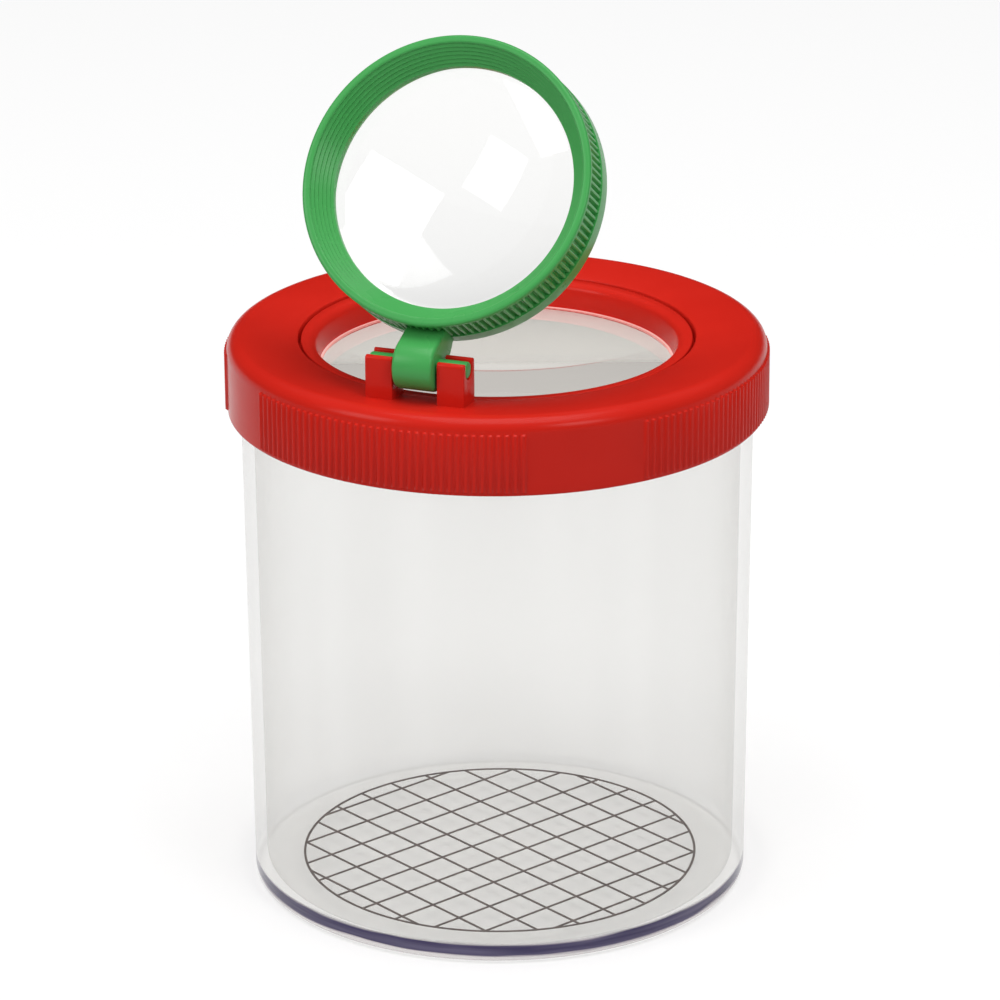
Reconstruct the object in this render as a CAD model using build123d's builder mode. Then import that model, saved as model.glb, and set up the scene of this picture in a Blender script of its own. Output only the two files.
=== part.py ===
from build123d import *
import math
import os

os.makedirs("parts", exist_ok=True)

# All sizes are in millimetres. The origin is the centre of the cup's underside, +Z is up,
# and the magnifier's hinge stands on the lid towards -Y with its pin along X.

# Clear cup
cup_height = 69.1
cup_base_radius = 31.1
cup_draft = 0.46            # degrees that the wall leans out
cup_wall = 1.5
cup_floor = 1.2
cup_foot_bevel = 0.6
cup_floor_bevel = 1.4       # in the inner corner at the floor
cup_rim_bevel = 0.3

# Printed measuring grid on the cup's floor
grid_cell = 5.0
grid_margin = 3.2           # from the floor's flat part in to the circle
grid_line_width = 0.3
grid_ink = 0.1
grid_turn = 61.0            # degrees from +X

# Lid shell
seat_gap = 0.05             # between the cup's rim and the lid's underside
lid_overlap = 7.8           # how far the skirt reaches down over the cup
skirt_clearance = 0.35
skirt_wall = 1.2
lid_plate = 1.85
lid_shoulder_round = 2.0
lid_top_fall = 0.6          # from the shoulder in to the lens well
collar_wall = 1.6
collar_clearance = 4.15     # from the inside of the cup's rim in to the collar
ledge_width = 2.4
ledge_thickness = 1.2

# Grip ribs round the lid, in four groups with plain stretches between
rib_groups = 4
ribs_in_group = 39
rib_pitch = 5 / 3           # degrees
rib_height = 0.25
rib_root_height = 0.02      # roots stand out this little from the plain skirt
rib_crest_share = 0.4       # of the pitch
rib_group_centre = -96.1    # degrees from +X
rib_end_margin = 0.4        # above the skirt's lower edge

# Ring that is pressed in over the main lens
ring_sink = 0.2             # below the edge of the well
ring_height = 3.2
ring_press_gap = 0.05
ring_groove = 0.3           # sunk line round the ring's top
ring_groove_depth = 1.0
ring_seat_width = 2.6       # width of the ring where it bears on the lens
ring_flare = 0.6            # the bore widens this much to the top
ring_edge_bevel = 0.5

# Main lens
lens_edge = 1.6
lens_edge_gap = 0.2
lens_rise = 2.6             # height of each curved face

# Hinge ears on the lid
pin_height = 3.8            # above the lid's top
pin_radius = 1.0
pin_clearance = 0.08
ear_gap = 5.6
ear_width = 3.4
ear_length = 3.7
ear_setback = 0.1           # from the edge of the well
ear_above_pin = 1.1
ear_corner_round = 0.5
ear_top_bevel = 0.4

# Magnifier frame, raised as it stands
open_angle = 58.0           # degrees up from lying flat on the lid
fold_clearance = 0.35       # over the lens ring when it lies flat
frame_depth = 7.4
frame_radius = 17.85
frame_wall = 2.15           # round the pocket of the lens
frame_collar = 0.7
frame_flange = 2.3
frame_edge_bevel = 0.3
frame_lip = 1.0             # flat width of the face
knurl_teeth = 128
knurl_depth = 0.45
knurl_crest_share = 0.4     # of the pitch
knurl_sink = 0.1            # crests below the collar
bore_steps = 6
bore_start = 0.4            # depth of the first step
bore_depth = 3.4
bore_land = 0.5             # thickness of the lip that the small lens bears on
bore_land_width = 0.8
arm_length = 4.0            # from the pin to the frame's rim
arm_side_gap = 0.3          # between the arm and each ear
knuckle_radius = 3.0
arm_set_back = 3.4          # from the frame's face back to the arm, at its end
arm_heel = 0.4              # extra depth of the arm behind the knuckle, at its end
arm_bite = 1.1              # how far the arm is let into the frame
arm_bevel = 0.4

# Small lens in the frame
small_lens_edge = 1.3
small_lens_gap = 0.03
small_lens_rise = 1.7

# Heights and radii that follow
wall_lean = math.tan(math.radians(cup_draft))
cup_rim_radius = cup_base_radius + cup_height * wall_lean
cup_inner_foot = cup_base_radius - cup_wall + cup_floor * wall_lean
grid_radius = cup_inner_foot - cup_floor_bevel - grid_margin
lid_underside = cup_height + seat_gap
lid_top = lid_underside + lid_plate
lid_bottom = cup_height - lid_overlap
skirt_radius = cup_rim_radius + skirt_clearance
lid_radius = skirt_radius + skirt_wall
well_radius = cup_rim_radius - cup_wall - collar_clearance - collar_wall
well_edge = lid_top - lid_top_fall
ring_top = well_edge - ring_sink
lens_top_seat = ring_top - ring_height
ledge_top = lens_top_seat - lens_edge
ledge_bottom = ledge_top - ledge_thickness
ledge_radius = well_radius - ledge_width
ring_radius = well_radius - ring_press_gap
ring_bore = ring_radius - ring_seat_width
lens_clear_radius = ring_bore - lens_edge_gap
pin_reach = well_radius + ear_setback + ear_length / 2
pin_z = lid_top + pin_height
ear_outer = ear_gap / 2 + ear_width

arm_width = ear_gap - 2 * arm_side_gap
arm_reach = frame_radius + arm_length
face_above_pin = frame_depth - (pin_z - ring_top - fold_clearance)
pocket_radius = frame_radius - frame_wall
bore_end_radius = pocket_radius - bore_land_width
small_lens_seat = bore_depth + bore_land
small_lens_clear_radius = bore_end_radius - small_lens_gap

# Directions of the raised frame: towards the lens from the pin, and out of its face
lean = math.radians(open_angle)
towards_lens = Vector(0, math.cos(lean), math.sin(lean))
out_of_face = Vector(0, -math.sin(lean), math.cos(lean))
pin_centre = Vector(0, -pin_reach, pin_z)
face_centre = pin_centre + towards_lens * arm_reach + out_of_face * face_above_pin

face_plane = Plane(origin=face_centre, x_dir=(1, 0, 0), z_dir=out_of_face)
section_plane = Plane(origin=face_centre, x_dir=(1, 0, 0), z_dir=-towards_lens)
arm_plane = Plane(origin=pin_centre, x_dir=towards_lens, z_dir=(1, 0, 0))
frame_axis = Axis(face_centre, out_of_face)


def polar(radius, degrees):
    """Point at a radius and an angle."""
    angle = math.radians(degrees)
    return (radius * math.cos(angle), radius * math.sin(angle))


def tooth_points(count, start, pitch, root, crest, crest_share):
    """Outline of a row of teeth along an arc: for each a root, and then the two corners of its crest."""
    points = []
    for tooth in range(count):
        middle = start + (tooth + 0.5) * pitch
        points.append(polar(root, middle - pitch / 2))
        points.append(polar(crest, middle - pitch * crest_share / 2))
        points.append(polar(crest, middle + pitch * crest_share / 2))
    return points


def ball_radius(edge_radius, rise):
    """Radius of the ball whose cap is this high over its rim."""
    return (edge_radius ** 2 + rise ** 2) / (2 * rise)


# Cup: a straight-sided tub with a slight draft, bevelled inside the floor, at the foot and at the rim
with BuildPart() as cup:
    with BuildSketch(Plane.XZ):
        with BuildLine():
            Polyline(
                (0, 0),
                (cup_base_radius, 0),
                (cup_rim_radius, cup_height),
                (cup_rim_radius - cup_wall, cup_height),
                (cup_inner_foot, cup_floor),
                (0, cup_floor),
                close=True,
            )
        make_face()
    revolve(axis=Axis.Z)
    chamfer(cup.edges().filter_by(GeomType.CIRCLE).group_by(Axis.Z)[0], cup_foot_bevel)
    chamfer(cup.edges().filter_by_position(Axis.Z, cup_floor - 0.01, cup_floor + 0.01), cup_floor_bevel)
    chamfer(cup.edges().filter_by(GeomType.CIRCLE).group_by(Axis.Z)[-1], cup_rim_bevel)
cup.part.label = "cup"
export_step(cup.part, "parts/cup.step")

# Measuring grid: two crossing rows of lines that end on a circle
lines_each_side = int((grid_radius - grid_line_width) / grid_cell + 0.5)
with BuildPart() as measuring_grid:
    with BuildSketch(Plane.XY.offset(cup_floor)):
        Circle(grid_radius)
        Circle(grid_radius - grid_line_width, mode=Mode.SUBTRACT)
        for turn in (grid_turn, grid_turn + 90):
            for line in range(-lines_each_side, lines_each_side):
                offset_from_middle = (line + 0.5) * grid_cell
                chord = 2 * math.sqrt((grid_radius - grid_line_width / 2) ** 2 - offset_from_middle ** 2)
                with Locations(Location((*polar(offset_from_middle, turn + 90), 0), (0, 0, turn))):
                    Rectangle(chord, grid_line_width)
    extrude(amount=grid_ink)
measuring_grid.part.label = "measuring_grid"
export_step(measuring_grid.part, "parts/measuring_grid.step")

# Grip ribs: each group is one ribbed strip that is let into the skirt and ends under the shoulder
rib_bottom = lid_bottom + rib_end_margin
rib_root = lid_radius + rib_root_height
rib_crest = lid_radius + rib_height
rib_back = lid_radius - skirt_wall / 2
group_sweep = ribs_in_group * rib_pitch
with BuildPart() as grip_ribs:
    with BuildSketch(Plane.XY.offset(rib_bottom)):
        for group in range(rib_groups):
            first = rib_group_centre + group * 360 / rib_groups - group_sweep / 2
            last = first + group_sweep
            teeth = tooth_points(ribs_in_group, first, rib_pitch, rib_root, rib_crest, rib_crest_share)
            with BuildLine():
                Polyline(*teeth, polar(rib_root, last), polar(rib_back, last))
                ThreePointArc(polar(rib_back, last), polar(rib_back, (first + last) / 2), polar(rib_back, first))
                Line(polar(rib_back, first), teeth[0])
            make_face()
    extrude(amount=lid_top - lid_shoulder_round - rib_bottom)

# Hinge ears with slots that open upwards, so that the frame's pins snap in
with BuildPart() as hinge_ears:
    ear_foot = (lid_underside + well_edge) / 2
    with BuildSketch(Plane.XY.offset(ear_foot)):
        with Locations((-(ear_gap + ear_width) / 2, -pin_reach), ((ear_gap + ear_width) / 2, -pin_reach)):
            Rectangle(ear_width, ear_length)
    extrude(amount=pin_z + ear_above_pin - ear_foot)
    fillet(hinge_ears.edges().filter_by(Axis.Z), ear_corner_round)
    chamfer(hinge_ears.edges().group_by(Axis.Z)[-1], ear_top_bevel)
    with BuildSketch(Plane.YZ):
        with Locations((-pin_reach, pin_z)):
            Circle(pin_radius + pin_clearance)
        with Locations((-pin_reach, pin_z + ear_above_pin)):
            Rectangle(2 * (pin_radius + pin_clearance), 2 * ear_above_pin)
    extrude(amount=ear_outer, both=True, mode=Mode.SUBTRACT)

# Lid shell: plate, skirt, and a collar inside that carries the main lens on a ledge
with BuildPart() as lid_shell:
    with BuildSketch(Plane.XZ) as lid_section:
        with BuildLine():
            Polyline(
                (lid_radius, lid_bottom),
                (lid_radius, lid_top),
                (well_radius, well_edge),
                (well_radius, ledge_top),
                (ledge_radius, ledge_top),
                (ledge_radius, ledge_bottom),
                (well_radius + collar_wall, ledge_bottom),
                (well_radius + collar_wall, lid_underside),
                (skirt_radius, lid_underside),
                (skirt_radius, lid_bottom),
                close=True,
            )
        make_face()
        fillet(lid_section.vertices().sort_by_distance((lid_radius, lid_top))[0], lid_shoulder_round)
    revolve(axis=Axis.Z)
    add(grip_ribs.part)
    add(hinge_ears.part)
lid_shell.part.label = "lid_shell"
export_step(lid_shell.part, "parts/lid_shell.step")

# Lens ring: pressed into the well, where its stepped edge leaves a thin sunk line
with BuildPart() as lens_ring:
    with BuildSketch(Plane.XZ):
        with BuildLine():
            groove_floor = ring_top - ring_groove_depth
            Polyline(
                (ring_bore, lens_top_seat),
                (ring_radius, lens_top_seat),
                (ring_radius, groove_floor - ring_groove),
                (ring_radius - ring_groove, groove_floor),
                (ring_radius - ring_groove, ring_top),
                (ring_bore + ring_flare, ring_top),
                close=True,
            )
        make_face()
    revolve(axis=Axis.Z)
    bore_edge = lens_ring.edges().filter_by(GeomType.CIRCLE).group_by(Axis.Z)[-1].sort_by(SortBy.RADIUS)[0]
    chamfer(bore_edge, ring_edge_bevel)
lens_ring.part.label = "lens_ring"
export_step(lens_ring.part, "parts/lens_ring.step")

# Main lens: a disc rounded by two balls, and a flange that is held between the ledge and the ring
lens_ball = ball_radius(lens_clear_radius, lens_rise)
lens_low_seat = lens_top_seat - lens_edge
with BuildPart() as main_lens:
    with BuildSketch(Plane.XY.offset(lens_low_seat - lens_rise)):
        Circle(lens_clear_radius)
    extrude(amount=lens_edge + 2 * lens_rise)
    with Locations(Plane.XY.offset(lens_top_seat + lens_rise - lens_ball)):
        Sphere(lens_ball, rotation=(90, 0, 0), mode=Mode.INTERSECT)
    with Locations(Plane.XY.offset(lens_low_seat - lens_rise + lens_ball)):
        Sphere(lens_ball, rotation=(90, 0, 0), mode=Mode.INTERSECT)
    with BuildSketch(Plane.XY.offset(lens_low_seat)):
        Circle(well_radius - lens_edge_gap)
    extrude(amount=lens_edge)
main_lens.part.label = "main_lens"
export_step(main_lens.part, "parts/main_lens.step")

# Arm with a round knuckle and the two pins that turn in the ears
with BuildPart() as hinge_arm:
    arm_end = arm_reach - frame_radius + arm_bite
    arm_front = face_above_pin - arm_set_back
    tangent_at = math.atan2(arm_front, arm_end) + math.acos(knuckle_radius / math.hypot(arm_end, arm_front))
    with BuildSketch(arm_plane):
        Circle(knuckle_radius)
        with BuildLine():
            Polyline(
                polar(knuckle_radius, math.degrees(tangent_at)),
                (arm_end, arm_front),
                (arm_end, -knuckle_radius - arm_heel),
                (0, -knuckle_radius),
                close=True,
            )
        make_face()
    extrude(amount=arm_width / 2, both=True)
    chamfer(hinge_arm.faces().filter_by(Axis.X).edges(), arm_bevel)
    with BuildSketch(arm_plane):
        Circle(pin_radius)
    extrude(amount=ear_outer - pin_clearance, both=True)

# Magnifier frame: stepped bore for the lens, toothed grip outside between a collar and a flange
knurl_crest = frame_radius - knurl_sink
knurl_root = knurl_crest - knurl_depth
grip_core_radius = knurl_root - knurl_depth
knurl_length = frame_depth - frame_collar - frame_flange
with BuildPart() as magnifier_frame:
    with BuildSketch(section_plane):
        with BuildLine():
            bore_top_radius = frame_radius - frame_lip
            step_fall = (bore_depth - bore_start) / bore_steps
            step_in = (bore_top_radius - bore_end_radius) / bore_steps
            staircase = []
            for step in range(bore_steps):
                radius = bore_top_radius - step * step_in
                depth = bore_start + step * step_fall
                staircase.append((radius, -depth))
                staircase.append((radius - step_in, -depth - step_fall / 2))
            Polyline(
                (bore_top_radius, 0),
                *staircase,
                (bore_end_radius, -small_lens_seat),
                (pocket_radius, -small_lens_seat),
                (pocket_radius, -frame_depth),
                (frame_radius, -frame_depth),
                (frame_radius, -frame_depth + frame_flange),
                (grip_core_radius, -frame_depth + frame_flange),
                (grip_core_radius, -frame_collar),
                (frame_radius, -frame_collar),
                (frame_radius, 0),
                close=True,
            )
        make_face()
    revolve(axis=frame_axis)
    rims = magnifier_frame.edges().filter_by(GeomType.CIRCLE).filter_by(lambda e: e.radius > frame_radius - 0.01)
    chamfer([rims.sort_by(frame_axis)[0], rims.sort_by(frame_axis)[-1]], frame_edge_bevel)
    knurl = tooth_points(knurl_teeth, -90, 360 / knurl_teeth, knurl_root, knurl_crest, knurl_crest_share)
    with BuildSketch(face_plane.offset(-frame_depth + frame_flange)):
        with BuildLine():
            Polyline(*knurl, close=True)
        make_face()
        Circle(grip_core_radius - knurl_depth, mode=Mode.SUBTRACT)
    extrude(amount=knurl_length)
    add(hinge_arm.part)
magnifier_frame.part.label = "magnifier_frame"
export_step(magnifier_frame.part, "parts/magnifier_frame.step")

# Small lens: pressed up from the back against the lip at the end of the bore
small_ball = ball_radius(small_lens_clear_radius, small_lens_rise)
small_low_seat = small_lens_seat + small_lens_edge
with BuildPart() as magnifier_lens:
    with BuildSketch(face_plane.offset(-small_low_seat - small_lens_rise)):
        Circle(small_lens_clear_radius)
    extrude(amount=small_lens_edge + 2 * small_lens_rise)
    with Locations(face_plane.offset(-small_lens_seat + small_lens_rise - small_ball)):
        Sphere(small_ball, rotation=(90, 0, 0), mode=Mode.INTERSECT)
    with Locations(face_plane.offset(-small_low_seat - small_lens_rise + small_ball)):
        Sphere(small_ball, rotation=(90, 0, 0), mode=Mode.INTERSECT)
    with BuildSketch(face_plane.offset(-small_low_seat)):
        Circle(pocket_radius - small_lens_gap)
    extrude(amount=small_lens_edge)
magnifier_lens.part.label = "magnifier_lens"
export_step(magnifier_lens.part, "parts/magnifier_lens.step")
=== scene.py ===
# %% [markdown]
# # A bug viewer: clear cup, red lid with a large lens, and a small green magnifier that folds
#
# The real object is moulded plastic. A clear cup has a measuring grid printed on its floor. A red lid with
# groups of grip ribs holds a large lens under a pressed-in ring. On the lid stand two slotted ears, and a
# green magnifier snaps into them with two pins. The construction comes ready as a frame of solid pieces
# that already have their true size and place. This notebook gives them their surfaces: each piece is spun
# or extruded again with its small roundings, and gets a plastic of its own.

# %% Load the frame
import math

import bmesh
import bpy
from mathutils import Matrix, Vector


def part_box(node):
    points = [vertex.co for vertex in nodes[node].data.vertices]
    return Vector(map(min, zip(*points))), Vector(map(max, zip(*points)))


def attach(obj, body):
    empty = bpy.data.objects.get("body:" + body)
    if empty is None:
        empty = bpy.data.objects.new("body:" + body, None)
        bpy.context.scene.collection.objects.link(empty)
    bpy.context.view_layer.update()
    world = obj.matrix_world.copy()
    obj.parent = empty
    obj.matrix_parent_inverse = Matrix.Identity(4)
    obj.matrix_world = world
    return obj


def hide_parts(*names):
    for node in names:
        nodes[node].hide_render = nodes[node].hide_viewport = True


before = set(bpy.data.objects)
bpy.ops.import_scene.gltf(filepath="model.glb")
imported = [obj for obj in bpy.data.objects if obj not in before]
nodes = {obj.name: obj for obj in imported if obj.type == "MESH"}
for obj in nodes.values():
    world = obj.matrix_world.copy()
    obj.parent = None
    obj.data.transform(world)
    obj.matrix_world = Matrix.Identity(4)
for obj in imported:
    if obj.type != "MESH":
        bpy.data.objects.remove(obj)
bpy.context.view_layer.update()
MM = 0.001
for name in sorted(nodes):
    low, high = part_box(name)
    size = [round((high[i] - low[i]) / MM, 2) for i in range(3)]
    print(name, "measures", size, "mm")

# %% [markdown]
# ## Sizes
#
# All sizes below are in millimetres, because moulded parts are thought of in millimetres. They are turned
# into metres only when a mesh is finished. The cup stands on the floor at the origin, and the hinge is on
# the side of -Y. Radii and heights are measured from the axis and the floor, and those of the magnifier
# from the middle of its face. NEAR is how close a point has to be to count as lying on a surface.

# %% Sizes of the cup and the lid
NEAR = 0.01
CUP = dict(height=69.1, base=31.1, rim=31.655, wall=1.5, floor=1.2)
LID = dict(bottom=61.3, top=71.0, radius=33.2, skirt=32.0, underside=69.15)
WELL = dict(radius=24.4, edge=70.4, ledge_top=65.4, ledge_bottom=64.2, ledge=22.0, collar=26.0)
RING = dict(top=70.2, seat=67.0, radius=24.35, bore=21.75, flare=0.6, groove=0.3, groove_depth=1.0)
LARGE_LENS = dict(clear=21.55, rim=24.2, seat=RING["seat"], edge=1.6, rise=2.6)

# %% Sizes of the hinge and the magnifier
PIN = Vector((0, -26.35, 74.8))
PIN_RADIUS, PIN_LENGTH = 1.0, 12.24
LEAN = math.radians(58)
REACH, FACE_ABOVE_PIN = 21.85, 3.15
EAR = dict(gap=5.6, width=3.4, length=3.7, top=75.9, foot=69.8, slot=1.08)
KNUCKLE = dict(radius=3.0, half_width=2.5, end=5.1, front=-0.25, back=-3.4)
GRIP = dict(radius=17.85, depth=7.4, collar=0.7, flange=2.3, teeth=128, crest=17.75, groove=0.45)
BORE = dict(top=16.85, end=14.9, start=0.4, depth=3.4, steps=6, land=0.5, pocket=15.7)
SMALL_LENS = dict(clear=14.87, rim=15.67, seat=-3.9, edge=1.3, rise=1.7)
rim_top = PIN.z + (REACH + GRIP["radius"]) * math.sin(LEAN) + FACE_ABOVE_PIN * math.cos(LEAN)
print("the raised magnifier reaches up to about", round(rim_top, 1), "mm")

# %% [markdown]
# ## From a drawn half section to a round piece
#
# Cups, lids, rings and lenses are all round, so their shape is one half section that turns about an axis.
# A modeller could start from a cylinder and push loops about, but a section keeps every height and radius
# readable. The section is laid down as a flat face, its corners are bevelled to give the small roundings
# that a mould leaves, the face is taken away, and its outline is spun.

# %% Draw a half section and round its corners
def rounded_outline(points, rounding=()):
    """A flat face through the points; rounding lists (corner number, reach, segments)."""
    mesh = bmesh.new()
    corners = [mesh.verts.new(point) for point in points]
    mesh.faces.new(corners)
    for number, reach, segments in sorted(rounding, reverse=True):
        bmesh.ops.bevel(mesh, geom=[corners[number]], offset=reach, offset_type="OFFSET", segments=segments,
                        profile=0.5, affect="VERTICES", material=-1)
    return mesh


def half_section(corners, rounding=()):
    """A rounded outline of (radius, height) corners, drawn in the XZ plane."""
    return rounded_outline([(radius, 0, height) for radius, height in corners], rounding)


# %% Spin the section about its axis
def spin_round(mesh, steps):
    """Turns the outline a quarter round Z, repeats the quarter, and closes what touches the axis."""
    bmesh.ops.delete(mesh, geom=mesh.faces[:], context="FACES_ONLY")
    on_axis = [edge for edge in mesh.edges if max(abs(v.co.x) for v in edge.verts) < 1e-6]
    bmesh.ops.delete(mesh, geom=on_axis, context="EDGES")
    bmesh.ops.spin(mesh, geom=mesh.verts[:] + mesh.edges[:], cent=(0, 0, 0), axis=(0, 0, 1),
                   angle=math.pi / 2, steps=steps // 4, use_merge=False, use_duplicate=False)
    quarter = mesh.verts[:] + mesh.edges[:] + mesh.faces[:]
    for turn in (1, 2, 3):
        copy = bmesh.ops.duplicate(mesh, geom=quarter)["geom"]
        bmesh.ops.rotate(mesh, cent=(0, 0, 0), matrix=Matrix.Rotation(turn * math.pi / 2, 3, "Z"),
                         verts=[item for item in copy if isinstance(item, bmesh.types.BMVert)])
    bmesh.ops.remove_doubles(mesh, verts=mesh.verts, dist=1e-4)
    bmesh.ops.recalc_face_normals(mesh, faces=mesh.faces)
    return mesh


# %% Turn a mesh into an object, and finish it as a piece on its body
def new_object(mesh, name):
    """Writes a bmesh to a new object that sits at the origin."""
    data = bpy.data.meshes.new(name)
    mesh.to_mesh(data)
    mesh.free()
    made = bpy.data.objects.new(name, data)
    bpy.context.scene.collection.objects.link(made)
    return made


def finish_piece(mesh, name, body, replaced=(), place=None, sharp=35):
    """Writes the mesh in metres at its place, smooth but for its sharp edges, and lets it ride."""
    if place:
        bmesh.ops.transform(mesh, matrix=place, verts=mesh.verts)
    bmesh.ops.scale(mesh, vec=(MM, MM, MM), verts=mesh.verts)
    for face in mesh.faces:
        face.smooth = True
    for edge in mesh.edges:
        edge.smooth = edge.calc_face_angle(0) < math.radians(sharp)
    open_edges = sum(1 for edge in mesh.edges if len(edge.link_faces) != 2)
    piece = new_object(mesh, name)
    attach(piece, body)
    if replaced:
        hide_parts(*replaced)
    triangles = sum(len(polygon.vertices) - 2 for polygon in piece.data.polygons)
    print(name, "has", triangles, "triangles and", open_edges, "open edges")
    return piece


# %% [markdown]
# ## The cup
#
# A clear tub with straight sides that lean out by half a degree, so that it leaves its mould. Its foot and
# the corner inside the floor are rounded, and the rim is only broken. Both sides of the wall are seen through
# each other, so the section follows the wall's inside as well as its outside.

# %% Cup
lean_out = (CUP["rim"] - CUP["base"]) / CUP["height"]
inner_foot = CUP["base"] - CUP["wall"] + CUP["floor"] * lean_out
cup_mesh = half_section(
    [(0, 0), (CUP["base"], 0), (CUP["rim"], CUP["height"]), (CUP["rim"] - CUP["wall"], CUP["height"]),
     (inner_foot, CUP["floor"]), (0, CUP["floor"])],
    [(1, 0.8, 6), (2, 0.4, 4), (3, 0.4, 4), (4, 1.4, 8)],
)
cup = finish_piece(spin_round(cup_mesh, steps=256), "clear_cup", "cup", ["cup"])

# %% [markdown]
# ## The lid
#
# The lid's skirt carries four groups of 39 fine grip ribs. Modelling 156 bars would be heavy and would
# leave hard joints. It is simpler to spin the section in so many steps that every rib has a few columns of
# its own, and then to move those columns outwards. The ribs fade out by themselves on the rounded shoulder.

# %% Ribs as columns of the mesh
RIBS = dict(groups=4, count=39, pitch=5 / 3, centre=-96.1, height=0.3, low=61.7, rise=0.15, high=68.85)
rib_columns = [0.0, 0.62, 1.0, 1.0, 0.62, 0.0]


def column_share(columns, place):
    """The column that a place falls on, where each whole number of the place is one rib or tooth."""
    return columns[round((place % 1) * len(columns)) % len(columns)]


def rib_share(x, y):
    """How far a rib stands out at a direction: 0 in the roots and between the groups, 1 on a crest."""
    sector = 360 / RIBS["groups"]
    turn = (math.degrees(math.atan2(y, x)) - RIBS["centre"] + sector / 2) % sector - sector / 2
    place = turn / RIBS["pitch"] + RIBS["count"] / 2
    return column_share(rib_columns, place) if 0 <= place < RIBS["count"] else 0.0


def push_out(vert, amount):
    """Moves a vertex away from the Z axis by so many millimetres."""
    grow = 1 + amount / math.hypot(vert.co.x, vert.co.y)
    vert.co.x *= grow
    vert.co.y *= grow


# %% Lid
full_ribs = RIBS["low"] + RIBS["rise"]
shoulder = 4
lid_mesh = half_section(
    [(LID["radius"], LID["bottom"]), (LID["radius"], RIBS["low"]), (LID["radius"], full_ribs),
     (LID["radius"], RIBS["high"]), (LID["radius"], LID["top"]), (WELL["radius"], WELL["edge"]),
     (WELL["radius"], WELL["ledge_top"]), (WELL["ledge"], WELL["ledge_top"]),
     (WELL["ledge"], WELL["ledge_bottom"]), (WELL["collar"], WELL["ledge_bottom"]),
     (WELL["collar"], LID["underside"]), (LID["skirt"], LID["underside"]), (LID["skirt"], LID["bottom"])],
    [(shoulder, 2.0, 10), (0, 0.25, 3), (5, 0.25, 3), (7, 0.2, 2), (8, 0.2, 2), (12, 0.2, 2)],
)
spin_round(lid_mesh, steps=round(360 / RIBS["pitch"]) * len(rib_columns))
for vert in lid_mesh.verts:
    on_skirt = math.hypot(vert.co.x, vert.co.y) > LID["radius"] - NEAR
    if on_skirt and full_ribs - NEAR < vert.co.z < RIBS["high"] + NEAR:
        push_out(vert, RIBS["height"] * rib_share(vert.co.x, vert.co.y))
lid = finish_piece(lid_mesh, "lid_body", "lid", ["lid_shell"], sharp=50)

# %% [markdown]
# ## The ears of the hinge
#
# Each ear is an upright block with a slot that is open at the top, so that the magnifier's pin snaps in.
# The slot's round bottom comes from bevelling two corners of the outline until they meet as a half circle.
# The outline is then given its width, and its outer edges are rounded as a mould leaves them.

# %% Blocks with rounded corners and edges
def upright_block(outline, rounding, low, high):
    """An outline of (y, z) corners, with some of them rounded, that is given a width along X."""
    mesh = rounded_outline([(low, y, z) for y, z in outline], rounding)
    made = bmesh.ops.extrude_face_region(mesh, geom=mesh.faces[:])
    moved = [item for item in made["geom"] if isinstance(item, bmesh.types.BMVert)]
    bmesh.ops.translate(mesh, vec=(high - low, 0, 0), verts=moved)
    bmesh.ops.recalc_face_normals(mesh, faces=mesh.faces)
    return mesh


def round_edges(mesh, reach, segments, least=30):
    """Rounds every edge that turns by more than a few degrees."""
    hard = [edge for edge in mesh.edges if edge.calc_face_angle(0) > math.radians(least)]
    bmesh.ops.bevel(mesh, geom=hard, offset=reach, offset_type="OFFSET", segments=segments, profile=0.5,
                    affect="EDGES", material=-1, clamp_overlap=True)
    return mesh


# %% Hinge ears
slot_floor = PIN.z - EAR["slot"]
slot_round = EAR["slot"] * 0.99
ears = []
for side, label in ((-1, "left"), (1, "right")):
    inner = side * EAR["gap"] / 2
    outer = side * (EAR["gap"] / 2 + EAR["width"])
    front = PIN.y - EAR["length"] / 2
    back = PIN.y + EAR["length"] / 2
    outline = [(front, EAR["foot"]), (front, EAR["top"]), (PIN.y - EAR["slot"], EAR["top"]),
               (PIN.y - EAR["slot"], slot_floor), (PIN.y + EAR["slot"], slot_floor),
               (PIN.y + EAR["slot"], EAR["top"]), (back, EAR["top"]), (back, EAR["foot"])]
    rounding = [(1, 0.45, 5), (2, 0.3, 4), (3, slot_round, 8), (4, slot_round, 8), (5, 0.3, 4), (6, 0.45, 5)]
    ear_mesh = upright_block(outline, rounding, min(inner, outer), max(inner, outer))
    round_edges(ear_mesh, reach=0.4, segments=4)
    ears.append(finish_piece(ear_mesh, "hinge_ear_" + label, "lid"))

# %% [markdown]
# ## The ring round the large lens
#
# A separate ring is pressed into the lid's well and holds the lens down. Its outer top edge is stepped, so
# a thin dark line shows round it. Its bore opens a little towards the top and ends in a soft rounding.

# %% Lens ring
groove_floor = RING["top"] - RING["groove_depth"]
ring_mesh = half_section(
    [(RING["bore"], RING["seat"]), (RING["radius"], RING["seat"]),
     (RING["radius"], groove_floor - RING["groove"]), (RING["radius"] - RING["groove"], groove_floor),
     (RING["radius"] - RING["groove"], RING["top"]), (RING["bore"] + RING["flare"], RING["top"])],
    [(5, 0.9, 8), (4, 0.2, 3), (0, 0.15, 2)],
)
ring = finish_piece(spin_round(ring_mesh, steps=256), "lens_ring_red", "lid", ["lens_ring"])

# %% [markdown]
# ## The two lenses
#
# Both lenses bulge on both sides and have a flat flange that is held by its edge. The curved faces are
# parts of a ball, and a ball's outline comes from spinning a single point about the ball's centre. A lens
# needs many more faces than its outline suggests, because everything seen through it shows each facet.

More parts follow.
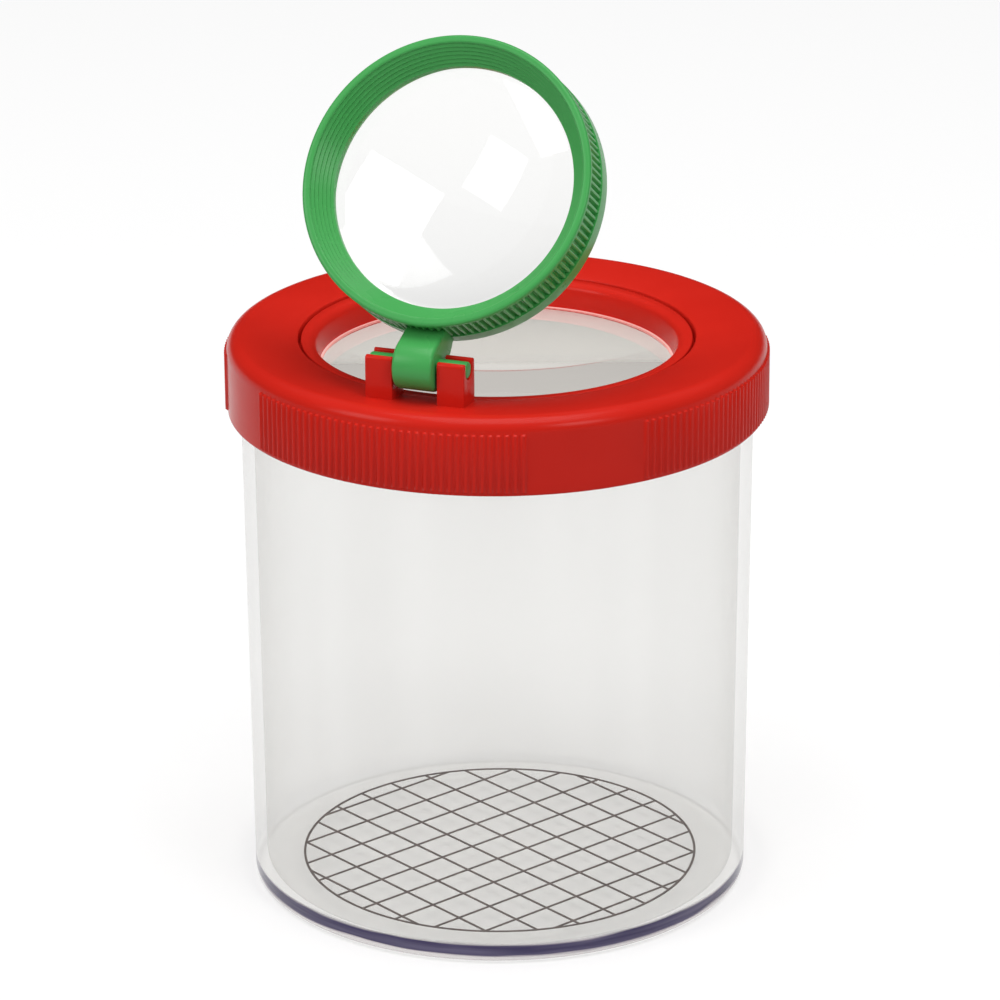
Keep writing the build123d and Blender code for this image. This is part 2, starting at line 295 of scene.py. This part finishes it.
# %% Lens section
def lens_section(clear, rim, seat, edge, rise, steps):
    """Half section of a lens as a chain of edges, from the pole on top to the pole below."""
    mesh = bmesh.new()
    ball = (clear ** 2 + rise ** 2) / (2 * rise)
    angle = math.asin(clear / ball)
    ends = []
    for way, height in ((1, seat), (-1, seat - edge)):
        pole = mesh.verts.new((0, 0, height + way * rise))
        bmesh.ops.spin(mesh, geom=[pole], cent=(0, 0, height + way * (rise - ball)), axis=(0, 1, 0),
                       angle=way * angle, steps=steps, use_merge=False, use_duplicate=False)
        mesh.verts.ensure_lookup_table()
        ends.append(max(mesh.verts, key=lambda v: (abs(v.co.z - height) < 1e-4, v.co.x)))
    corners = [mesh.verts.new((rim, 0, seat)), mesh.verts.new((rim, 0, seat - edge))]
    mesh.edges.new((ends[0], corners[0]))
    mesh.edges.new(corners)
    mesh.edges.new((corners[1], ends[1]))
    return mesh


# %% Large lens
main_lens_mesh = spin_round(lens_section(**LARGE_LENS, steps=28), steps=192)
main_lens = finish_piece(main_lens_mesh, "large_lens", "lid", ["main_lens"])

# %% [markdown]
# ## The magnifier's frame
#
# The green frame stands at 58 degrees. It is drawn lying flat, with its face at height 0, and moved to its
# place at the end. Its bore goes down in six small steps to the lens. Outside, 128 grip teeth lie between a
# narrow collar and a wide plain flange. They are made as the lid's ribs were: the columns between two teeth
# are moved inwards.

# %% Place of the raised frame
towards_lens = Vector((0, math.cos(LEAN), math.sin(LEAN)))
out_of_face = Vector((0, -math.sin(LEAN), math.cos(LEAN)))
face_centre = PIN + towards_lens * REACH + out_of_face * FACE_ABOVE_PIN
raised = Matrix.Translation(face_centre) @ Matrix.Rotation(LEAN, 4, "X")
print("the middle of the magnifier's face is at", [round(c, 2) for c in face_centre], "mm")

# %% Frame section, from the face down the bore and back up outside
step_in = (BORE["top"] - BORE["end"]) / BORE["steps"]
step_fall = (BORE["depth"] - BORE["start"]) / BORE["steps"]
corners = [(BORE["top"], 0)]
for step in range(BORE["steps"]):
    radius = BORE["top"] - step * step_in
    depth = BORE["start"] + step * step_fall
    corners += [(radius, -depth), (radius - step_in, -depth - step_fall / 2)]
lens_seat = -BORE["depth"] - BORE["land"]
flange_top = -GRIP["depth"] + GRIP["flange"]
corners += [(BORE["end"], lens_seat), (BORE["pocket"], lens_seat), (BORE["pocket"], -GRIP["depth"]),
            (GRIP["radius"], -GRIP["depth"]), (GRIP["radius"], flange_top), (GRIP["crest"], flange_top),
            (GRIP["crest"], -GRIP["collar"]), (GRIP["radius"], -GRIP["collar"]), (GRIP["radius"], 0)]
last = len(corners) - 1
frame_mesh = half_section(corners, [(0, 0.25, 3), (last, 0.35, 4), (last - 5, 0.35, 4), (last - 6, 0.2, 2)])
print("the frame's section has", len(corners), "corners before rounding")

# %% Grip teeth
tooth_columns = [1.0, 1.0, 0.9, 0.35, 0.0, 0.0, 0.35, 0.9]
spin_round(frame_mesh, steps=GRIP["teeth"] * len(tooth_columns))
for vert in frame_mesh.verts:
    on_crest = abs(math.hypot(vert.co.x, vert.co.y) - GRIP["crest"]) < NEAR
    if on_crest and flange_top - NEAR < vert.co.z < -GRIP["collar"] + NEAR:
        tooth = math.degrees(math.atan2(vert.co.y, vert.co.x)) * GRIP["teeth"] / 360
        push_out(vert, -GRIP["groove"] * (1 - column_share(tooth_columns, tooth)))
magnifier = finish_piece(frame_mesh, "magnifier_ring", "magnifier", ["magnifier_frame"],
                         place=raised, sharp=40)

# %% [markdown]
# ## The arm, its knuckle and the pins
#
# A short arm joins the frame to a round knuckle between the ears, and two pins stick out of the knuckle. The
# arm's outline is the knuckle's circle with straight sides that run off it to the frame. Such a shape is the
# skin that would stretch over a disc and four corners, so one convex hull makes it.

# %% Arm
hinge_place = Matrix.Translation(PIN) @ Matrix.Rotation(LEAN, 4, "X")
arm_mesh = bmesh.new()
bmesh.ops.create_cone(arm_mesh, cap_ends=True, cap_tris=False, segments=64, radius1=KNUCKLE["radius"],
                      radius2=KNUCKLE["radius"], depth=2 * KNUCKLE["half_width"],
                      matrix=Matrix.Rotation(math.pi / 2, 4, "Y"))
for x in (-KNUCKLE["half_width"], KNUCKLE["half_width"]):
    for z in (KNUCKLE["front"], KNUCKLE["back"]):
        arm_mesh.verts.new((x, KNUCKLE["end"], z))
hull = bmesh.ops.convex_hull(arm_mesh, input=arm_mesh.verts)
bmesh.ops.delete(arm_mesh, geom=list(set(hull["geom_interior"] + hull["geom_unused"])), context="VERTS")
bmesh.ops.dissolve_limit(arm_mesh, angle_limit=math.radians(1), verts=arm_mesh.verts, edges=arm_mesh.edges)
round_edges(arm_mesh, reach=0.45, segments=4)
arm = finish_piece(arm_mesh, "magnifier_arm", "magnifier", place=hinge_place)

# %% Pins
pin_mesh = bmesh.new()
bmesh.ops.create_cone(pin_mesh, cap_ends=True, cap_tris=False, segments=32, radius1=PIN_RADIUS,
                      radius2=PIN_RADIUS, depth=PIN_LENGTH, matrix=Matrix.Rotation(math.pi / 2, 4, "Y"))
round_edges(pin_mesh, reach=0.2, segments=3)
pins = finish_piece(pin_mesh, "hinge_pins", "magnifier", place=Matrix.Translation(PIN))

# %% Small lens
small_mesh = spin_round(lens_section(**SMALL_LENS, steps=24), steps=160)
small_lens = finish_piece(small_mesh, "small_lens", "magnifier", ["magnifier_lens"],
                          place=raised)

# %% [markdown]
# ## Shader sums as Python
#
# A pattern in a material is arithmetic on values that change over a surface. Written node by node it is
# hard to follow, so a small class wraps a socket and lets ordinary Python signs add the Math nodes.

# %% Values that add their own Math nodes
class Value:
    """What one socket gives out, such as a number that changes over a surface."""

    def __init__(self, shading, socket):
        self.shading = shading
        self.socket = socket

    def maths(self, operation, first, second):
        return self.shading.node("ShaderNodeMath", {"operation": operation}, {0: first, 1: second})

    def __add__(self, other):
        return self.maths("ADD", self, other)

    def __sub__(self, other):
        return self.maths("SUBTRACT", self, other)

    def __rsub__(self, other):
        return self.maths("SUBTRACT", other, self)

    def __mul__(self, other):
        return self.maths("MULTIPLY", self, other)

    def __pow__(self, other):
        return self.maths("POWER", self, other)

    def __rpow__(self, other):
        return self.maths("POWER", other, self)

    __radd__ = __add__
    __rmul__ = __mul__


# %% Nodes that are added in short lines
class Shading:
    """A tree of shader nodes, and one method that adds any node to it."""

    def __init__(self, tree):
        self.tree = tree

    def plug(self, socket, value):
        if isinstance(value, Value):
            self.tree.links.new(value.socket, socket)
        else:
            socket.default_value = value

    def node(self, kind, settings=None, sockets=None, result=0):
        made = self.tree.nodes.new(kind)
        for key, value in (settings or {}).items():
            setattr(made, key, value)
        for key, value in (sockets or {}).items():
            self.plug(made.inputs[key], value)
        return Value(self, made.outputs[result])

    def ramp(self, value, low, high, to_low=0.0, to_high=1.0):
        """Goes from to_low to to_high while the value goes from low to high, and no further."""
        return self.node("ShaderNodeMapRange", {}, {0: value, 1: low, 2: high, 3: to_low, 4: to_high})

    def fall(self, value, low, high):
        return self.ramp(value, low, high, 1.0, 0.0)

    def ray(self, fact):
        """One output of Light Path: how deep a ray is, or 1 for the rays of a kind and 0 for others."""
        return self.node("ShaderNodeLightPath", result=fact)

    def any_ray(self, *kinds):
        """1 for rays of any of these kinds, and 0 for all others."""
        return self.ramp(sum(self.ray(kind) for kind in kinds), 0.0, 1.0)


# %% A material that is built in short lines
class Finish(Shading):
    """One material: its main shader, and the patterns and mixes that its sockets take."""

    def __init__(self, name, **uniform):
        self.material = bpy.data.materials.new(name)
        self.material.use_nodes = True
        super().__init__(self.material.node_tree)
        self.shader = self.tree.nodes["Principled BSDF"]
        self.output = self.tree.nodes["Material Output"]
        for socket, value in uniform.items():
            self.shader.inputs[socket.replace("_", " ")].default_value = value

    def place(self):
        return self.node("ShaderNodeTexCoord", result="Object")

    def noise(self, scale, detail=2.0):
        return self.node("ShaderNodeTexNoise", {}, {"Vector": self.place(), "Scale": scale, "Detail": detail})

    def noise_stretched(self, scales):
        """Noise with its own scale along X, Y and Z."""
        spread = self.node("ShaderNodeVectorMath", {"operation": "MULTIPLY"}, {0: self.place(), 1: scales})
        return self.node("ShaderNodeTexNoise", {}, {"Vector": spread, "Scale": 1.0, "Detail": 2.0})

    def from_axis(self):
        """How much the surface faces away from the upright axis, times its distance from it in metres."""
        level = {0: self.place(), 1: (1.0, 1.0, 0.0)}
        flat = self.node("ShaderNodeVectorMath", {"operation": "MULTIPLY"}, level)
        normal = self.node("ShaderNodeNewGeometry", result="Normal")
        return self.node("ShaderNodeVectorMath", {"operation": "DOT_PRODUCT"}, {0: flat, 1: normal},
                         result="Value")

    def between(self, share, first, second):
        return self.node("ShaderNodeMix", {"data_type": "RGBA"}, {0: share, 6: first, 7: second}, result=2)

    def set(self, socket, value):
        self.plug(self.shader.inputs[socket], value)

    def bump(self, height, strength, distance):
        sockets = {"Height": height, "Strength": strength, "Distance": distance}
        self.set("Normal", self.node("ShaderNodeBump", {}, sockets))

    def main_surface(self):
        return Value(self, self.shader.outputs[0])

    def mixed(self, share, first, second):
        """Two surfaces, of which the second shows by its share."""
        return self.node("ShaderNodeMixShader", {}, {0: share, 1: first, 2: second})

    def finish_with(self, surface):
        self.tree.links.new(surface.socket, self.output.inputs["Surface"])

    def put_on(self, *pieces):
        for piece in pieces:
            piece.data.materials.clear()
            piece.data.materials.append(self.material)
        print(self.material.name, "is on", [piece.name for piece in pieces])


# %% Colours as read from a picture
def srgb(red, green, blue):
    """A colour as read from a picture, turned into the linear light that shaders work in."""
    parts = [c / 255 for c in (red, green, blue)]
    return tuple(c / 12.92 if c <= 0.04045 else ((c + 0.055) / 1.055) ** 2.4 for c in parts) + (1.0,)


# %% [markdown]
# ## Red and green plastic
#
# Both are glossy, slightly soft mouldings. Their colour is nearly even, with faint clouds where the melt
# flowed, and their gloss is a little uneven from handling. A deep colour needs weak gloss: a strong one would
# lay the white studio over it.

# %% Moulded colours
def moulded(name, colour, darker, gloss, shine):
    finish = Finish(name, Roughness=gloss, Specular_IOR_Level=shine)
    clouds = finish.ramp(finish.noise(60.0), 0.35, 0.65)
    finish.set("Base Color", finish.between(clouds, darker, colour))
    finish.set("Roughness", finish.ramp(finish.noise(150.0), 0.3, 0.7, gloss - 0.03, gloss + 0.03))
    finish.bump(finish.noise(110.0, 1.0), 0.03, 0.0002)
    return finish


red = moulded("red_plastic", srgb(210, 38, 27), srgb(204, 35, 24), 0.24, 0.11)
green = moulded("green_plastic", srgb(74, 168, 88), srgb(68, 161, 82), 0.28, 0.2)
red.put_on(lid, ring, *ears, nodes["lid_shell"], nodes["lens_ring"])
green.put_on(magnifier, arm, pins, nodes["magnifier_frame"])

# %% [markdown]
# ## Clear plastic for the cup
#
# A wall of clear plastic only a millimetre and a half thick hardly shifts what is behind it, so it needs no
# bending of light. It is a mix of nothing and a faint pale haze, which grows where the wall is seen edge on
# as a painted reflection.
# In the thick corner at the foot the light is trapped. Its look is painted on: a fine dark line of painted
# shadow at the very bottom, and a dark violet band of painted shade with pale strips of painted light round
# it. All three follow the height on the outer face.

# %% Cup finish: heights on the outer face, and the three painted marks of light and shade at the foot
cup_finish = Finish("clear_plastic", Roughness=0.12, Specular_IOR_Level=0.5)
height = cup_finish.node("ShaderNodeSeparateXYZ", {}, {0: cup_finish.place()}, result="Z")
front_side = 1 - cup_finish.node("ShaderNodeNewGeometry", result="Backfacing")
foot = front_side * cup_finish.ramp(cup_finish.from_axis(), 3 * MM, 10 * MM)
swirl = cup_finish.noise_stretched((55.0, 55.0, 1100.0))
wavy_height = height + cup_finish.ramp(swirl, 0.3, 0.7, -0.25 * MM, 0.25 * MM)
# Painted shadow in a fine line at the bottom, painted light in a pale strip, painted shade in a dark band
painted_contact_shadow = foot * cup_finish.fall(height, 0.08 * MM, 0.22 * MM)
painted_pale_strip = foot * cup_finish.fall(height, 2.2 * MM, 2.6 * MM)
painted_dark_band = foot * cup_finish.ramp(wavy_height, 0.75 * MM, 1.05 * MM)
painted_dark_band = painted_dark_band * cup_finish.fall(wavy_height, 2.1 * MM, 2.6 * MM)

# %% Cup finish: colours, with those of the painted shadow, shade and light at the foot
# The dark violet of the painted shade, the pale tint of the painted light and the grey of the painted shadow
painted_band_violet = cup_finish.between(cup_finish.ramp(swirl, 0.35, 0.65), srgb(44, 30, 86), srgb(96, 88, 124))
colour = cup_finish.between(painted_pale_strip, srgb(240, 240, 235), srgb(222, 208, 212))
colour = cup_finish.between(painted_dark_band, colour, painted_band_violet)
cup_finish.set("Base Color", cup_finish.between(painted_contact_shadow, colour, srgb(120, 105, 100)))

# %% Cup finish: how much of the plastic shows
# The streaks are the plastic's own haze; the edge-on share adds a painted reflection
streaks = cup_finish.noise_stretched((90.0, 90.0, 6.0))
edge_on = cup_finish.node("ShaderNodeLayerWeight", {}, {"Blend": 0.5}, result="Facing") ** 5.0
haze_and_painted_edge_sheen = cup_finish.ramp(streaks, 0.3, 0.7, 0.03, 0.055) + edge_on * 0.4
# The painted marks at the foot also let more of the pale surface show
shown = haze_and_painted_edge_sheen + painted_pale_strip * 0.35 + painted_dark_band * 0.72 + painted_contact_shadow * 0.4
see_through = cup_finish.node("ShaderNodeBsdfTransparent", {}, {"Color": (0.967, 0.966, 0.962, 1.0)})
cup_finish.finish_with(cup_finish.mixed(shown, see_through, cup_finish.main_surface()))
cup_finish.put_on(cup, nodes["cup"])

# %% [markdown]
# ## Clear plastic for the lenses
#
# A lens is there to bend light, so both lenses are real glass in the shader's sense. Lamps shine straight
# through them, which spares the render a lot of noise. A ray that has turned three times inside a lens would
# go on until it is dropped and leave a black patch, so it ends there in a painted glow, the pale grey of
# trapped light, though the lens is no lamp.

# %% Lens finish
def lets_lamps_through(finish, surface, passed):
    """Swaps a surface for a clear one for the rays that look for lamps, so that it casts no hard shadow."""
    clear_side = finish.node("ShaderNodeBsdfTransparent", {}, {"Color": passed})
    return finish.mixed(finish.ray("Is Shadow Ray"), surface, clear_side)


def lens_glass(name, tint, bend, *lenses):
    finish = Finish(name, Transmission_Weight=1.0, IOR=bend, Base_Color=tint)
    finish.set("Roughness", finish.ramp(finish.noise(90.0), 0.35, 0.65, 0.0, 0.015))
    # A painted glow of trapped light, though the lens is no lamp
    painted_glow = finish.node("ShaderNodeEmission", {}, {"Color": (0.66, 0.64, 0.62, 1.0), "Strength": 1.0})
    deep = finish.ramp(finish.ray("Ray Depth"), 2.0, 3.0)
    surface = finish.mixed(deep, finish.main_surface(), painted_glow)
    finish.finish_with(lets_lamps_through(finish, surface, (0.9, 0.9, 0.9, 1.0)))
    finish.put_on(*lenses)


lens_glass("lens_plastic", srgb(232, 229, 223), 1.3, main_lens, nodes["main_lens"])
lens_glass("small_lens_plastic", srgb(253, 253, 252), 1.45, small_lens, nodes["magnifier_lens"])

# %% [markdown]
# ## The flange of the large lens
#
# The flat flange is hidden between the ledge and the ring, but it shows through the lens. It gathers light
# from all sides and hands it on, tinted by the red lid round it. This light is painted: a second material
# with a pinkish colour and a faint painted glow, though the flange is no lamp, goes on every face that lies
# outside the curved part.

# %% Flange of the large lens, with painted light and a painted glow
# Painted light: a pinkish colour and a faint glow for the light the flange hands on from the red lid
rim = Finish("lens_rim_painted_glow", Roughness=0.4, Emission_Strength=0.45, Emission_Color=srgb(226, 178, 172))
rim.set("Base Color", rim.between(rim.noise(80.0), srgb(214, 150, 144), srgb(236, 206, 200)))
main_lens.data.materials.append(rim.material)
curved_part = (LARGE_LENS["clear"] + 0.05) * MM
for face in main_lens.data.polygons:
    face.material_index = int(math.hypot(face.center.x, face.center.y) > curved_part)
on_flange = sum(face.material_index for face in main_lens.data.polygons)
print("lens_rim_painted_glow is on", on_flange, "faces of", main_lens.name)

# %% Printed grid
ink = Finish("grid_ink", Roughness=0.6)
blots = ink.ramp(ink.noise(900.0), 0.3, 0.7)
ink.set("Base Color", ink.between(blots, srgb(98, 88, 86), srgb(122, 110, 106)))
ink.put_on(nodes["measuring_grid"])

# %% [markdown]
# ## Floor
#
# The floor is plain paper. To the lamps it is mid grey, so that it throws no more light up at the cup than a
# real table would. A glow is added only for the rays that show it, straight from the camera, mirrored or
# through glass, and brings it up to white while the shadow stays. It lies a hair under the cup's foot.

# %% Floor
floor_mesh = bmesh.new()
bmesh.ops.create_grid(floor_mesh, x_segments=1, y_segments=1, size=3.0,
                      matrix=Matrix.Translation((0, 0, -0.2 * MM)))
floor = new_object(floor_mesh, "floor")

# %% Paper
LIFT_TO_WHITE = 0.54
paper = Finish("white_floor", Roughness=0.9, Specular_IOR_Level=0.0, Base_Color=(0.5, 0.5, 0.5, 1.0))
lift = paper.any_ray("Is Camera Ray", "Is Glossy Ray", "Is Transmission Ray") * LIFT_TO_WHITE
glow = paper.node("ShaderNodeEmission", {}, {"Color": (1.0, 1.0, 1.0, 1.0), "Strength": lift})
paper.finish_with(paper.node("ShaderNodeAddShader", {}, {0: paper.main_surface(), 1: glow}))
paper.put_on(floor)

# %% [markdown]
# ## Light
#
# A broad lamp overhead and two smaller ones in front give soft shadows and a few clear highlights. The world
# lights weakly, but is white where the camera sees it, straight or through a lens.

# %% Lamps
MIDDLE = Vector((0, 0, 0.05))


def soft_lamp(name, place, size, power):
    """A square lamp that looks at the middle of the object."""
    data = bpy.data.lights.new(name, "AREA")
    data.size = size
    data.energy = power
    lamp = bpy.data.objects.new(name, data)
    lamp.location = place
    lamp.rotation_euler = (MIDDLE - Vector(place)).to_track_quat("-Z", "Y").to_euler()
    bpy.context.scene.collection.objects.link(lamp)
    print(name, "gives", power, "W")


soft_lamp("overhead", (0.1, -0.15, 1.2), 0.9, 9)
soft_lamp("front_left", (-0.75, -0.85, 0.75), 0.5, 4)
soft_lamp("front_right", (0.9, -0.6, 0.7), 0.35, 3)

# %% World
WORLD_LIGHT, WORLD_SEEN = 0.32, 1.0
world = bpy.data.worlds.new("studio")
world.use_nodes = True
sky = Shading(world.node_tree)
background = world.node_tree.nodes["Background"]
background.inputs["Color"].default_value = (1, 1, 1, 1)
seen = sky.any_ray("Is Camera Ray", "Is Transmission Ray")
sky.plug(background.inputs["Strength"], sky.ramp(seen, 0.0, 1.0, WORLD_LIGHT, WORLD_SEEN))
bpy.context.scene.world = world
print("the world lights with", WORLD_LIGHT, "and is seen with", WORLD_SEEN)

# %% [markdown]
# ## A dark curtain
#
# In an all-white room a glossy colour turns milky, because it mirrors white from every side. A photographer
# hangs dark cloth round the table for this. Here it shows in mirrored rays and nowhere else.

# %% Dark curtain that only shows in reflections
curtain_mesh = bmesh.new()
bmesh.ops.create_cone(curtain_mesh, cap_ends=False, segments=64, radius1=2.5, radius2=2.5, depth=2.0,
                      matrix=Matrix.Translation((0, 0, 1.12)))
curtain = new_object(curtain_mesh, "curtain")
cloth = Finish("dark_cloth", Roughness=1.0, Specular_IOR_Level=0.0, Base_Color=(0.02, 0.02, 0.02, 1.0))
cloth.put_on(curtain)
curtain.visible_camera = False
curtain.visible_diffuse = False
curtain.visible_transmission = False
curtain.visible_shadow = False

# %% [markdown]
# ## Camera
#
# The camera stands 20 degrees to the right of the hinge, more than half a metre away, and looks down. Its
# place is given round the cup's axis, in metres and radians, and its lens by how many pixels a metre fills
# at a metre's distance in a picture of 1000 pixels.

# %% Camera
AZIMUTH, DISTANCE, HEIGHT = math.radians(20.2), 0.55637, 0.25577
PITCH, YAW, ROLL = 0.3565, 0.0005, -0.0055
PIXELS_AT_ONE_METRE, PICTURE, SENSOR = 4774.76, 1000, 36
away = Vector((math.sin(AZIMUTH), -math.cos(AZIMUTH), 0))
sideways = Vector((math.cos(AZIMUTH), math.sin(AZIMUTH), 0))
level = sideways * math.sin(YAW) - away * math.cos(YAW)
forward = level * math.cos(PITCH) - Vector((0, 0, math.sin(PITCH)))
right = forward.cross(Vector((0, 0, 1))).normalized()
up = right.cross(forward)
right, up = right * math.cos(ROLL) + up * math.sin(ROLL), up * math.cos(ROLL) - right * math.sin(ROLL)
camera_data = bpy.data.cameras.new("camera")
camera_data.sensor_width = SENSOR
camera_data.lens = PIXELS_AT_ONE_METRE / PICTURE * SENSOR
camera = bpy.data.objects.new("camera", camera_data)
turned = Matrix((right, up, -forward)).transposed().to_4x4()
camera.matrix_world = Matrix.Translation(away * DISTANCE + Vector((0, 0, HEIGHT))) @ turned
bpy.context.scene.collection.objects.link(camera)
bpy.context.scene.camera = camera
bpy.context.scene.view_settings.view_transform = "Standard"
print("camera at", [round(c, 4) for c in camera.location], "with a lens of", round(camera_data.lens, 1), "mm")
